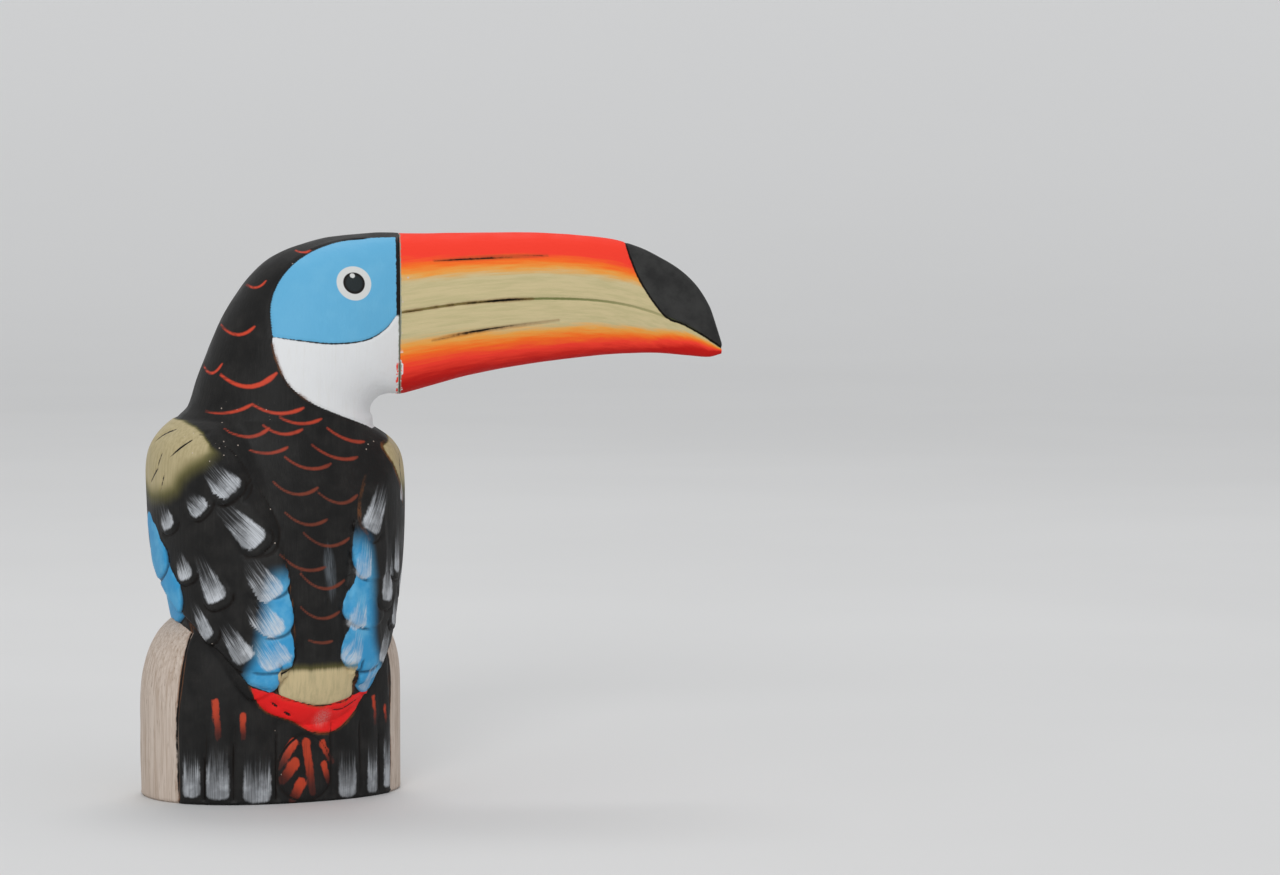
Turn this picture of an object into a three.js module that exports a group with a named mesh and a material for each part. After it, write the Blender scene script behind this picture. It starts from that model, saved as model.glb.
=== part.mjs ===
// Toucan carved on a tree stump, with a glued beak. Millimetres, Z up.
// The origin is the middle of the flat underside. The bird's back faces -Y and its beak points to +X.
import * as THREE from 'three';
import { LoftGeometry } from 'three/addons/geometries/LoftGeometry.js';

// Overall stance
const HEAD_YAW = THREE.MathUtils.degToRad(-22);
const NECK_Z = 134.4;
const BODY_SHIFT_X = 2;
const BODY_SHIFT_FROM_Z = 30;
const BODY_SHIFT_TO_Z = 80;

// Stump: an upright loaf with a domed top
const STUMP_HALF_WIDTH = 47.4;
const STUMP_HALF_BACK = 35.5;
const STUMP_HALF_FRONT = 34;
const STUMP_STRAIGHT_Z = 28;
const STUMP_TOP_Z = 70;
const STUMP_DOME_POWER = 3.3;
const STUMP_SECTION_POWER = 2.2;
const FOOT_BEVEL = 0.8;

// Tail panel, standing slightly proud of the stump
const TAIL_FROM_ANGLE = THREE.MathUtils.degToRad(-67);
const TAIL_TO_ANGLE = THREE.MathUtils.degToRad(55);
const TAIL_LIFT = 0.8;
const TAIL_EDGE_ANGLE = THREE.MathUtils.degToRad(2);

// Torso stations: height, half width at the back, half width at the front, depth behind, depth in front
const TORSO_POWER = 2.1;
const TORSO_STATIONS = [
  [0, 8, 8, 12, 4],
  [16, 18, 14, 24, 8],
  [26, 27, 18, 34.5, 14],
  [33, 33, 22, 40, 20],
  [42, 38, 26, 43.3, 26],
  [55, 41.5, 29, 44, 30],
  [70, 43.5, 35, 42.7, 35],
  [88, 45, 40.4, 41, 39.5],
  [108, 45.4, 42.4, 39.5, 41],
  [120, 44, 43.4, 37.5, 40],
  [NECK_Z, 42, 41, 36, 37],
];
const NECK_BLEND_FROM_Z = 98;

// Wings: raised panels, given as one outline of angle from the back's middle in degrees and height
const WING_LIFT = 2.4;
const WING_OUTLINE = [
  [40, 130], [28, 117], [21, 102], [17, 88], [14, 77], [12, 65], [12, 54], [15, 46],
  [21, 41], [32, 43], [45, 52], [60, 60], [73, 66], [92, 75], [112, 90], [126, 104],
  [136, 116], [138, 130], [128, 150], [52, 150],
];
const WING_CHART_RADIUS = 42;
const WING_EDGE_LOW = 1.4;
const WING_EDGE_HIGH = 14;
const WING_EDGE_FROM_Z = 85;
const WING_EDGE_TO_Z = 122;

// Shoulders: the one on the beak's side lies lower than the other
const LEFT_SHOULDER = { fromZ: 112, topZ: 135 };
const RIGHT_SHOULDER = { fromZ: 110, topZ: 131 };
const SHOULDER_POWER = 4;

// Neck and head: sections that turn a quarter about a point at the throat
const PIVOT_REACH = 46.2;
const HEAD_STATIONS = [
  // turn in degrees, throat radius, crown radius, half thickness, section power
  [0, 9.3, 79, 30, 2.1],
  [3, 9.6, 75.4, 29.7, 2.1],
  [10, 10.3, 73.4, 29.2, 2.1],
  [20, 10.6, 72, 28.6, 2.1],
  [35, 10.4, 72.6, 27.8, 2.15],
  [50, 9.8, 73.1, 26, 2.2],
  [65, 8.9, 69.7, 22.8, 2.3],
  [78, 8.3, 66.8, 18.8, 2.4],
  [90, 8, 65.6, 15, 2.5],
];

// Beak stations: distance from the seam, top height, bottom height, half thickness
const SEAM_GAP = 0.3;
const BEAK_LENGTH = 116;
const BEAK_POWER_ROOT = 2.5;
const BEAK_POWER_TIP = 2.1;
const BEAK_STATIONS = [
  [0, 200, 142.4, 15],
  [25, 200, 149, 13.6],
  [50, 200, 153.5, 11.9],
  [71.5, 198.5, 155.9, 9.9],
  [81.5, 196.4, 156.5, 8.7],
  [93, 191.7, 156.6, 7],
  [104, 184.2, 155.7, 5.2],
  [111.5, 174, 155.2, 3.7],
  [BEAK_LENGTH, 160.5, 156.4, 1.8],
];

// Facets
const COLUMNS = 68;
const TORSO_ROWS = 37;
const HEAD_ROWS = 23;
const BEAK_COLUMNS = 32;
const BEAK_ROWS = 22;

const beakDirection = new THREE.Vector3(Math.cos(HEAD_YAW), Math.sin(HEAD_YAW), 0);
const headSide = new THREE.Vector3(Math.sin(HEAD_YAW), -Math.cos(HEAD_YAW), 0);
const up = new THREE.Vector3(0, 0, 1);
const pivot = beakDirection.clone().multiplyScalar(PIVOT_REACH).setZ(NECK_Z);

// Smooth curve through stations whose first entry is the position; returns the other entries.
function along(stations, position) {
  const last = stations.length - 1;
  const inside = THREE.MathUtils.clamp(position, stations[0][0], stations[last][0]);
  let i = 0;
  while (i < last - 1 && inside > stations[i + 1][0]) i += 1;
  const span = stations[i + 1][0] - stations[i][0];
  const t = (inside - stations[i][0]) / span;
  const slope = (k, entry) => {
    const before = stations[Math.max(k - 1, 0)];
    const after = stations[Math.min(k + 1, last)];
    return (after[entry] - before[entry]) / (after[0] - before[0]);
  };
  const values = [];
  for (let entry = 1; entry < stations[0].length; entry += 1) {
    const start = stations[i][entry];
    const end = stations[i + 1][entry];
    const startSlope = slope(i, entry) * span;
    const endSlope = slope(i + 1, entry) * span;
    const bend = 2 * start - 2 * end + startSlope + endSlope;
    const lean = 3 * end - 3 * start - 2 * startSlope - endSlope;
    values.push(start + t * (startSlope + t * (lean + t * bend)));
  }
  return values;
}

// Distance from the middle of a rounded section to its edge, in the direction (across, lengthwise).
function sectionRadius(across, lengthwise, halfAcross, halfLengthwise, power) {
  const sum = Math.abs(across / halfAcross) ** power + Math.abs(lengthwise / halfLengthwise) ** power;
  return sum ** (-1 / power);
}

function stumpRadius(angle, z) {
  const rise = Math.max(0, (z - STUMP_STRAIGHT_Z) / (STUMP_TOP_Z - STUMP_STRAIGHT_Z));
  const shrink = Math.max(0, 1 - rise ** STUMP_DOME_POWER) ** (1 / STUMP_DOME_POWER);
  const depth = Math.cos(angle) > 0 ? STUMP_HALF_BACK : STUMP_HALF_FRONT;
  const radius = sectionRadius(
    Math.sin(angle), Math.cos(angle), STUMP_HALF_WIDTH, depth, STUMP_SECTION_POWER);
  const insideTail = Math.min(angle - TAIL_FROM_ANGLE, TAIL_TO_ANGLE - angle);
  const tail = THREE.MathUtils.smoothstep(insideTail, -TAIL_EDGE_ANGLE, TAIL_EDGE_ANGLE);
  const bevel = Math.max(0, FOOT_BEVEL - z);
  return radius * shrink + TAIL_LIFT * tail - bevel;
}

function torsoRadius(angle, z) {
  const [widthBack, widthFront, back, front] = along(TORSO_STATIONS, z);
  const share = 0.5 + 0.5 * Math.cos(angle);
  const width = THREE.MathUtils.lerp(widthFront, widthBack, share);
  const depth = Math.cos(angle) > 0 ? back : front;
  return sectionRadius(Math.sin(angle), Math.cos(angle), width, depth, TORSO_POWER);
}

function headSection(turnDegrees) {
  const [throat, crown, halfThickness, power] = along(HEAD_STATIONS, turnDegrees);
  return { centre: (throat + crown) / 2, half: (crown - throat) / 2, halfThickness, power };
}

function headRadius(angle, section) {
  const turned = angle - HEAD_YAW;
  const { half, halfThickness, power } = section;
  return sectionRadius(Math.sin(turned), Math.cos(turned), half, halfThickness, power);
}

// Signed distance from the wing's outline in its unrolled chart, negative inside.
function wingDistance(angle, z) {
  const x = WING_CHART_RADIUS * Math.abs(angle);
  const points = WING_OUTLINE.map(
    ([degrees, height]) => new THREE.Vector2(WING_CHART_RADIUS * THREE.MathUtils.degToRad(degrees), height));
  const here = new THREE.Vector2(x, z);
  let nearest = Infinity;
  let inside = false;
  points.forEach((start, i) => {
    const end = points[(i + 1) % points.length];
    const edge = end.clone().sub(start);
    const t = THREE.MathUtils.clamp(here.clone().sub(start).dot(edge) / edge.lengthSq(), 0, 1);
    nearest = Math.min(nearest, here.distanceTo(start.clone().addScaledVector(edge, t)));
    const crosses = (start.y > z) !== (end.y > z);
    if (crosses && x < start.x + (z - start.y) * edge.x / edge.y) inside = !inside;
  });
  return inside ? -nearest : nearest;
}

function wingShare(angle, z) {
  const soft = THREE.MathUtils.smoothstep(z, WING_EDGE_FROM_Z, WING_EDGE_TO_Z);
  const edge = THREE.MathUtils.lerp(WING_EDGE_LOW, WING_EDGE_HIGH, soft);
  return THREE.MathUtils.smoothstep(-wingDistance(angle, z), 0, edge);
}

// Share of the wing's lift left at a height, rounding off to nothing at the shoulder's top.
function shoulderFullness({ fromZ, topZ }, z) {
  const rise = THREE.MathUtils.clamp((z - fromZ) / (topZ - fromZ), 0, 1);
  return 1 - rise ** SHOULDER_POWER;
}

const neckSection = headSection(0);
const neckCentre = beakDirection.clone().multiplyScalar(PIVOT_REACH - neckSection.centre);

// One horizontal section of stump, torso and wings.
function torsoRow(z) {
  const blend = THREE.MathUtils.smoothstep(z, NECK_BLEND_FROM_Z, NECK_Z);
  const shift = BODY_SHIFT_X * THREE.MathUtils.smoothstep(z, BODY_SHIFT_FROM_Z, BODY_SHIFT_TO_Z);
  const centre = new THREE.Vector3(shift, 0, 0).lerp(neckCentre, blend);
  const points = [];
  for (let i = 0; i < COLUMNS; i += 1) {
    const angle = 2 * Math.PI * i / COLUMNS - Math.PI;
    const bird = torsoRadius(angle, z);
    const trunk = THREE.MathUtils.lerp(bird, headRadius(angle, neckSection), blend);
    const fullness = shoulderFullness(angle > 0 ? RIGHT_SHOULDER : LEFT_SHOULDER, z);
    const proud = Math.max(0, bird + WING_LIFT - trunk) * fullness;
    const winged = trunk + proud * wingShare(angle, z);
    const radius = Math.max(winged, stumpRadius(angle, z));
    points.push(new THREE.Vector3(
      centre.x + radius * Math.sin(angle), centre.y - radius * Math.cos(angle), z));
  }
  return points;
}

// One section of neck and head, in a plane turned about the throat pivot.
function headRow(turnDegrees) {
  const section = headSection(turnDegrees);
  const turn = THREE.MathUtils.degToRad(turnDegrees);
  const outward = beakDirection.clone().multiplyScalar(-Math.cos(turn)).addScaledVector(up, Math.sin(turn));
  const points = [];
  for (let i = 0; i < COLUMNS; i += 1) {
    const angle = 2 * Math.PI * i / COLUMNS - Math.PI;
    const turned = angle - HEAD_YAW;
    const radius = headRadius(angle, section);
    const point = pivot.clone();
    point.addScaledVector(outward, section.centre - radius * Math.sin(turned));
    point.addScaledVector(headSide, radius * Math.cos(turned));
    points.push(point);
  }
  return points;
}

function buildBody() {
  const rows = [torsoRow(0)];
  for (let i = 0; i < TORSO_ROWS; i += 1) {
    const t = i / TORSO_ROWS;
    rows.push(torsoRow(THREE.MathUtils.lerp(FOOT_BEVEL, NECK_Z, t)));
  }
  for (let i = 0; i <= HEAD_ROWS; i += 1) {
    rows.push(headRow(90 * i / HEAD_ROWS));
  }
  return new LoftGeometry(rows, { capStart: true, capEnd: true });
}

function buildBeak() {
  const rows = [];
  for (let i = 0; i <= BEAK_ROWS; i += 1) {
    const left = 1 - i / BEAK_ROWS;
    const reach = BEAK_LENGTH * (1 - left ** 2 * (0.6 + 0.4 * left));
    const [top, bottom, halfThickness] = along(BEAK_STATIONS, reach);
    const power = THREE.MathUtils.lerp(BEAK_POWER_ROOT, BEAK_POWER_TIP, reach / BEAK_LENGTH);
    const middle = beakDirection.clone().multiplyScalar(PIVOT_REACH + SEAM_GAP + reach);
    const half = (top - bottom) / 2;
    const points = [];
    for (let k = 0; k < BEAK_COLUMNS; k += 1) {
      const angle = 2 * Math.PI * k / BEAK_COLUMNS;
      const radius = sectionRadius(Math.sin(angle), Math.cos(angle), half, halfThickness, power);
      const point = middle.clone().addScaledVector(headSide, radius * Math.cos(angle));
      point.z = (top + bottom) / 2 - radius * Math.sin(angle);
      points.push(point);
    }
    rows.push(points);
  }
  return new LoftGeometry(rows, { capStart: true, capEnd: true });
}

function piece(name, geometry, color) {
  const material = new THREE.MeshStandardMaterial({ color, roughness: 0.7, metalness: 0 });
  const mesh = new THREE.Mesh(geometry, material);
  mesh.name = name;
  return mesh;
}

const group = new THREE.Group();
group.name = 'toucan_carving';
group.add(piece('body', buildBody(), 0x2b2a29));
group.add(piece('beak', buildBeak(), 0xc9a15a));

export default group;
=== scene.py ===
"""Looks of the carved toucan: fine carved meshes, painted and burnt markings, floor, light and camera."""
import math

import bpy
import numpy as np
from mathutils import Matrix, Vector, noise


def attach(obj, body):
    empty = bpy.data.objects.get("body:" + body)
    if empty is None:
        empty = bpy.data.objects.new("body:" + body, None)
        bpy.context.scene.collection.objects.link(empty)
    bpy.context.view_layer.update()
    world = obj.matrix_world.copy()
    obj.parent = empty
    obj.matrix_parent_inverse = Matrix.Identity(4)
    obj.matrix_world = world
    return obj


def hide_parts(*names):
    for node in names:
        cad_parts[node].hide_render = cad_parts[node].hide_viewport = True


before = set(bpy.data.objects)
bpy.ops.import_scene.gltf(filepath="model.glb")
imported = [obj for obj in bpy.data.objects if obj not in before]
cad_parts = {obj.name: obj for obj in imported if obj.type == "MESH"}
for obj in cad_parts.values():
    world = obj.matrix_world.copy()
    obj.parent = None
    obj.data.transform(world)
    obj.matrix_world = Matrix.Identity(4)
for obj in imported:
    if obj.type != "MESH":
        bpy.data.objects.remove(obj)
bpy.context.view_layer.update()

MM = 0.001
# Distances to markings are cut off this many millimetres away
FAR = 6.0
ARC_STEPS = 20

# Overall stance, in millimetres and degrees, as in the CAD model
HEAD_YAW = math.radians(-22)
NECK_Z = 134.4
BODY_SHIFT_X = 2
BODY_SHIFT_FROM_Z = 30
BODY_SHIFT_TO_Z = 80

# Stump
STUMP_HALF_WIDTH = 47.4
STUMP_HALF_BACK = 35.5
STUMP_HALF_FRONT = 34
STUMP_STRAIGHT_Z = 28
STUMP_TOP_Z = 70
STUMP_DOME_POWER = 3.3
STUMP_SECTION_POWER = 2.2
FOOT_BEVEL = 0.8

# Tail panel on the stump
TAIL_FROM = -67
TAIL_TO = 55
TAIL_LIFT = 0.8
TAIL_EDGE = 2

# Torso stations: height, half width at the back, half width at the front, depth behind, depth in front
TORSO_POWER = 2.1
TORSO_STATIONS = [
    (0, 8, 8, 12, 4),
    (16, 18, 14, 24, 8),
    (26, 27, 18, 34.5, 14),
    (33, 33, 22, 40, 20),
    (42, 38, 26, 43.3, 26),
    (55, 41.5, 29, 44, 30),
    (70, 43.5, 35, 42.7, 35),
    (88, 45, 40.4, 41, 39.5),
    (108, 45.4, 42.4, 39.5, 41),
    (120, 44, 43.4, 37.5, 40),
    (NECK_Z, 42, 41, 36, 37),
]
NECK_BLEND_FROM_Z = 98

# Wing panel: angle from the back's middle in degrees, and height
WING_LIFT = 2.4
WING_OUTLINE = [
    (40, 130), (28, 117), (21, 102), (17, 88), (14, 77), (12, 65), (12, 54), (15, 46),
    (21, 41), (32, 43), (45, 52), (60, 60), (73, 66), (92, 75), (112, 90), (126, 104),
    (136, 116), (138, 130), (128, 150), (52, 150),
]
CHART_RADIUS = 42
CHART_OVER_NECK = 6
WING_EDGE_LOW = 1.4
WING_EDGE_HIGH = 14
WING_EDGE_FROM_Z = 85
WING_EDGE_TO_Z = 122

# Lower inner edge of a wing: angle, height
WING_LOW_EDGE = [(22, 40.5), (34, 44.4), (45, 52), (60, 60)]

# Shoulders: height where the rounding starts and top height; the one on the beak's side lies lower
LEFT_SHOULDER = (112, 135)
RIGHT_SHOULDER = (110, 131)
SHOULDER_POWER = 4

# Head stations: turn in degrees, throat radius, crown radius, half thickness, section power
PIVOT_REACH = 46.2
HEAD_STATIONS = [
    (0, 9.3, 79, 30, 2.1),
    (3, 9.6, 75.4, 29.7, 2.1),
    (10, 10.3, 73.4, 29.2, 2.1),
    (20, 10.6, 72, 28.6, 2.1),
    (35, 10.4, 72.6, 27.8, 2.15),
    (50, 9.8, 73.1, 26, 2.2),
    (65, 8.9, 69.7, 22.8, 2.3),
    (78, 8.3, 66.8, 18.8, 2.4),
    (90, 8, 65.6, 15, 2.5),
]

# Beak stations: distance from the seam, top height, bottom height, half thickness
SEAM_GAP = 0.3
BEAK_LENGTH = 116
BEAK_POWER_ROOT = 2.5
BEAK_POWER_TIP = 2.1
BEAK_STATIONS = [
    (0, 200, 142.4, 15),
    (25, 200, 149, 13.6),
    (50, 200, 153.5, 11.9),
    (71.5, 198.5, 155.9, 9.9),
    (81.5, 196.4, 156.5, 8.7),
    (93, 191.7, 156.6, 7),
    (104, 184.2, 155.7, 5.2),
    (111.5, 174, 155.2, 3.7),
    (BEAK_LENGTH, 160.5, 156.4, 1.8),
]

# Mesh fineness: the seen back of the bird is finer than its breast
BACK_FROM = -118
BACK_TO = 84
BACK_COLUMNS = 196
FRONT_COLUMNS = 86
TORSO_ROWS = 212
HEAD_ROWS = 124
BEAK_COLUMNS = 150
BEAK_ROWS = 240
SHARP_FROM = 50

beak_direction = np.array([math.cos(HEAD_YAW), math.sin(HEAD_YAW), 0.0])
head_side = np.array([math.sin(HEAD_YAW), -math.cos(HEAD_YAW), 0.0])


def smoothstep(value, low, high):
    t = np.clip((value - low) / (high - low), 0.0, 1.0)
    return t * t * (3.0 - 2.0 * t)


def along(stations, position):
    """Smooth curve through stations whose first entry is the position; one row of entries per position."""
    table = np.array(stations, float)
    knots = table[:, 0]
    count = len(knots)
    before = np.maximum(np.arange(count) - 1, 0)
    after = np.minimum(np.arange(count) + 1, count - 1)
    slopes = (table[after, 1:] - table[before, 1:]) / (knots[after] - knots[before])[:, None]
    inside = np.clip(np.asarray(position, float), knots[0], knots[-1])
    i = np.clip(np.searchsorted(knots, inside) - 1, 0, count - 2)
    span = (knots[i + 1] - knots[i])[..., None]
    t = (inside - knots[i])[..., None] / span
    start, end = table[i, 1:], table[i + 1, 1:]
    start_slope, end_slope = slopes[i] * span, slopes[i + 1] * span
    bend = 2 * start - 2 * end + start_slope + end_slope
    lean = 3 * end - 3 * start - 2 * start_slope - end_slope
    return start + t * (start_slope + t * (lean + t * bend))


def section_radius(across, lengthwise, half_across, half_lengthwise, power):
    total = np.abs(across / half_across) ** power + np.abs(lengthwise / half_lengthwise) ** power
    return total ** (-1.0 / power)


def wrap(angle):
    return (angle + math.pi) % (2 * math.pi) - math.pi


def inside_distance(x, y, outline):
    """Signed distance to a closed outline, positive inside."""
    nearest = np.full(x.shape, 1e9)
    inside = np.zeros(x.shape, bool)
    points = np.array(outline, float)
    for start, end in zip(points, np.roll(points, -1, axis=0)):
        edge = end - start
        t = np.clip(((x - start[0]) * edge[0] + (y - start[1]) * edge[1]) / (edge @ edge), 0, 1)
        nearest = np.minimum(nearest, np.hypot(x - start[0] - t * edge[0], y - start[1] - t * edge[1]))
        if edge[1] != 0:
            crosses = (start[1] > y) != (end[1] > y)
            inside ^= crosses & (x < start[0] + (y - start[1]) * edge[0] / edge[1])
    return np.where(inside, nearest, -nearest)


def chart(points):
    """Angle in degrees and height, unrolled to millimetres."""
    return [(CHART_RADIUS * math.radians(degrees), height) for degrees, height in points]


def chart_inside(angle, z, outline):
    return inside_distance(CHART_RADIUS * angle, z, chart(outline))


# Carved form

def stump_radius(angle, z):
    rise = np.maximum(0.0, (z - STUMP_STRAIGHT_Z) / (STUMP_TOP_Z - STUMP_STRAIGHT_Z))
    shrink = np.maximum(0.0, 1 - rise ** STUMP_DOME_POWER) ** (1 / STUMP_DOME_POWER)
    depth = np.where(np.cos(angle) > 0, STUMP_HALF_BACK, STUMP_HALF_FRONT)
    radius = section_radius(np.sin(angle), np.cos(angle), STUMP_HALF_WIDTH, depth, STUMP_SECTION_POWER)
    return radius * shrink + TAIL_LIFT * tail_share(angle) - np.maximum(0.0, FOOT_BEVEL - z)


def tail_share(angle):
    degrees = np.degrees(angle)
    inside = np.minimum(degrees - TAIL_FROM, TAIL_TO - degrees)
    return smoothstep(inside, -TAIL_EDGE, TAIL_EDGE)


def torso_radius(angle, z):
    width_back, width_front, back, front = np.moveaxis(along(TORSO_STATIONS, z), -1, 0)
    share = 0.5 + 0.5 * np.cos(angle)
    width = width_front + (width_back - width_front) * share
    depth = np.where(np.cos(angle) > 0, back, front)
    return section_radius(np.sin(angle), np.cos(angle), width, depth, TORSO_POWER)


def head_section(turn):
    throat, crown, half_thickness, power = np.moveaxis(along(HEAD_STATIONS, turn), -1, 0)
    return (throat + crown) / 2, (crown - throat) / 2, half_thickness, power


neck_middle, neck_half, neck_half_thickness, neck_power = head_section(0.0)
neck_centre = beak_direction * (PIVOT_REACH - neck_middle)


def wing_share(angle, z):
    edge = WING_EDGE_LOW + (WING_EDGE_HIGH - WING_EDGE_LOW) * smoothstep(z, WING_EDGE_FROM_Z, WING_EDGE_TO_Z)
    return smoothstep(chart_inside(np.abs(angle), z, WING_OUTLINE), 0.0, edge)


def shoulder_fullness(shoulder, z):
    from_z, top_z = shoulder
    return 1 - np.clip((z - from_z) / (top_z - from_z), 0, 1) ** SHOULDER_POWER


def torso_surface(angle, z):
    """Points of the trunk and wings, the bird's height over the stump, and the wing's over the trunk."""
    blend = smoothstep(z, NECK_BLEND_FROM_Z, NECK_Z)
    shift = BODY_SHIFT_X * smoothstep(z, BODY_SHIFT_FROM_Z, BODY_SHIFT_TO_Z)
    turned = angle - HEAD_YAW
    neck = section_radius(np.sin(turned), np.cos(turned), neck_half, neck_half_thickness, neck_power)
    bird = torso_radius(angle, z)
    trunk = bird + (neck - bird) * blend
    fullness = np.where(angle > 0, shoulder_fullness(RIGHT_SHOULDER, z), shoulder_fullness(LEFT_SHOULDER, z))
    winged = trunk + np.maximum(0.0, bird + WING_LIFT - trunk) * fullness * wing_share(angle, z)
    stump = stump_radius(angle, z)
    radius = np.maximum(winged, stump)
    x = shift * (1 - blend) + neck_centre[0] * blend + radius * np.sin(angle)
    y = neck_centre[1] * blend - radius * np.cos(angle)
    return np.stack([x, y, z + 0 * x], axis=-1), winged - stump, winged - trunk


def head_rows(angle, turn):
    """Points of neck and head, in planes turned about the throat pivot."""
    centre, half, half_thickness, power = head_section(turn)
    turned = angle - HEAD_YAW
    radius = section_radius(np.sin(turned), np.cos(turned), half, half_thickness, power)
    outward = centre - radius * np.sin(turned)
    reach = PIVOT_REACH - outward * np.cos(np.radians(turn))
    height = NECK_Z + outward * np.sin(np.radians(turn))
    flat = reach[..., None] * beak_direction + (radius * np.cos(turned))[..., None] * head_side
    flat[..., 2] = height
    return flat


def head_surface(reach, z, side):
    """Point of the head at a place in its side view; side is 1 towards the back's viewer and -1 away."""
    rise, run = z - NECK_Z, PIVOT_REACH - reach
    centre, half, half_thickness, power = head_section(np.degrees(np.arctan2(rise, run)))
    share = np.clip(np.abs(np.hypot(rise, run) - centre) / half, 0, 1)
    lateral = half_thickness * (1 - share ** power) ** (1 / power)
    flat = np.asarray(reach)[..., None] * beak_direction + (side * lateral)[..., None] * head_side
    flat[..., 2] = z
    return flat


# Lines, strokes and feathers

# Widths along a stroke, as shares of its half width or length
TAPER_START = 0.85
TAPER_GAIN = 0.3
SCALLOP_START = 0.35
SCALLOP_TIP = 0.12
# Rounded end of a feather: the lesser of these shares of its width and length
TIP_OF_WIDTH = 0.45
TIP_OF_LENGTH = 0.6


def smooth_line(points, steps=6):
    """A finer run of points on a smooth curve through the given ones."""
    table = [(i,) + tuple(p) for i, p in enumerate(points)]
    return along(table, np.linspace(0, len(points) - 1, steps * (len(points) - 1) + 1))


def torso_line(points):
    fine = smooth_line(points)
    return torso_surface(np.radians(fine[:, 0]), fine[:, 1])[0]


def head_line(points, side):
    fine = smooth_line(points)
    return head_surface(fine[:, 0], fine[:, 1], side)


def arc(points):
    """A round brush arc through three points."""
    table = np.array(points, float)
    steps = np.hypot(*np.diff(table, axis=0).T)
    share = np.concatenate([[0.0], np.cumsum(steps)]) / steps.sum()
    fine = np.linspace(0, 1, ARC_STEPS)
    return np.stack([np.polyval(np.polyfit(share, column, 2), fine) for column in table.T], axis=1)


def symmetric_taper(share, blunt):
    return np.sin(np.pi * share) ** blunt * (TAPER_START + TAPER_GAIN * share)


def widening_taper(share, blunt):
    swell = SCALLOP_START + (1 - SCALLOP_START) * share
    return swell * np.minimum(1.0, (1.0 - share) / SCALLOP_TIP) ** blunt


def stroke_field(vertices, strokes, blunt=0.6, taper=symmetric_taper):
    """Largest of half width minus distance over strokes of (line, half width), positive on a stroke."""
    field = np.full(len(vertices), -FAR)
    for line, half_width in strokes:
        low, high = line.min(axis=0) - FAR / 2, line.max(axis=0) + FAR / 2
        near = np.nonzero(np.all((vertices > low) & (vertices < high), axis=1))[0]
        if len(near) == 0:
            continue
        place = vertices[near]
        best = np.full(len(near), -FAR)
        count = len(line) - 1
        for i in range(count):
            edge = line[i + 1] - line[i]
            t = np.clip((place - line[i]) @ edge / max(edge @ edge, 1e-9), 0, 1)
            distance = np.linalg.norm(place - line[i] - t[:, None] * edge, axis=1)
            share = np.clip((i + t) / count, 0.02, 0.98)
            best = np.maximum(best, half_width * taper(share, blunt) - distance)
        field[near] = np.maximum(field[near], best)
    return field


def tongue(angle, z, feather, root=0.5, corner=2.6):
    """A feather or brush stroke in the chart: inside distance, share of its length, and distance across."""
    from_angle, from_z, to_angle, to_z, width = feather
    start = np.array([CHART_RADIUS * math.radians(from_angle), from_z])
    tip = np.array([CHART_RADIUS * math.radians(to_angle), to_z])
    length = np.linalg.norm(tip - start)
    axis = (tip - start) / length
    x, y = CHART_RADIUS * angle - start[0], z - start[1]
    run = x * axis[0] + y * axis[1]
    across = x * axis[1] - y * axis[0]
    cap = min(TIP_OF_WIDTH * width, TIP_OF_LENGTH * length)
    core = length - cap
    half = width / 2 * (root + (1 - root) * np.clip(run / core, 0, 1))
    over = np.maximum(np.maximum(0.0, run - core) / cap, np.maximum(0.0, -run) / cap)
    size = (np.abs(across / half) ** corner + over ** corner) ** (1 / corner)
    return half * (1 - size), np.clip(run / length, 0, 1), across


def feather_under(dab):
    """The carved feather that a brush dab is painted on, a little longer and wider than the dab."""
    from_angle, from_z, to_angle, to_z, width = dab
    return (from_angle, from_z, to_angle + FEATHER_LONGER * (to_angle - from_angle),
            to_z + FEATHER_LONGER * (to_z - from_z), width + FEATHER_WIDER)


def mirrored(feathers):
    """The feathers on the left, then on the right."""
    return [(side * start, low, side * tip, *rest) for side in (-1, 1) for start, low, tip, *rest in feathers]


# Brush dabs and feathers: from angle, from height, tip angle, tip height, width at the tip
LEFT_DABS = [
    (-55, 120, -41.5, 109.4, 9.5), (-63.5, 109, -54.5, 103, 8), (-81, 106, -74.5, 96.4, 7.5),
    (-48, 106.5, -29, 92.2, 9.5), (-70, 89, -64.5, 79, 7.5), (-58, 88, -47.5, 71.8, 8.4),
    (-34, 86.5, -22.5, 73, 10), (-32.5, 72.5, -21.5, 59.6, 10.5), (-28, 60.5, -18.5, 49.4, 10.5),
    (-63, 71.5, -52, 58.8, 6.5), (-46, 65, -33, 51.2, 8),
]
RIGHT_DABS = [
    (41, 112.5, 26.5, 95, 8), (41, 92, 36.5, 70, 7), (50, 98, 47, 79.5, 6), (42, 65, 35.5, 48.5, 7),
    (50, 74, 46, 61, 6), (75, 90, 69, 78, 6.5), (62, 84, 57, 72, 6.5), (86, 106, 78, 96, 7),
    (57.5, 114, 56, 104.5, 3.6),
]
DABS = LEFT_DABS + RIGHT_DABS
PALE_DABS = [
    (25, 94, 20.4, 78.6, 7), (20.6, 74, 16.1, 60.6, 7), (18.5, 62, 14.5, 49, 7), (34, 52, 26.5, 38.6, 8),
]
LEFT_BLUE = [
    (-29, 94, -25.5, 73.2, 16), (-26, 80, -24, 59.6, 16.5), (-25, 66, -24, 47.4, 17.5),
    (-38, 57, -26, 38.4, 19),
]
RIGHT_BLUE = [
    (31, 106, 27, 78, 16), (26, 79, 21.8, 61.5, 17.5), (23.6, 66, 22.2, 46.4, 17.5), (40, 60, 30, 37.6, 20),
]
INNER_BLUE = LEFT_BLUE + RIGHT_BLUE
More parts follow.
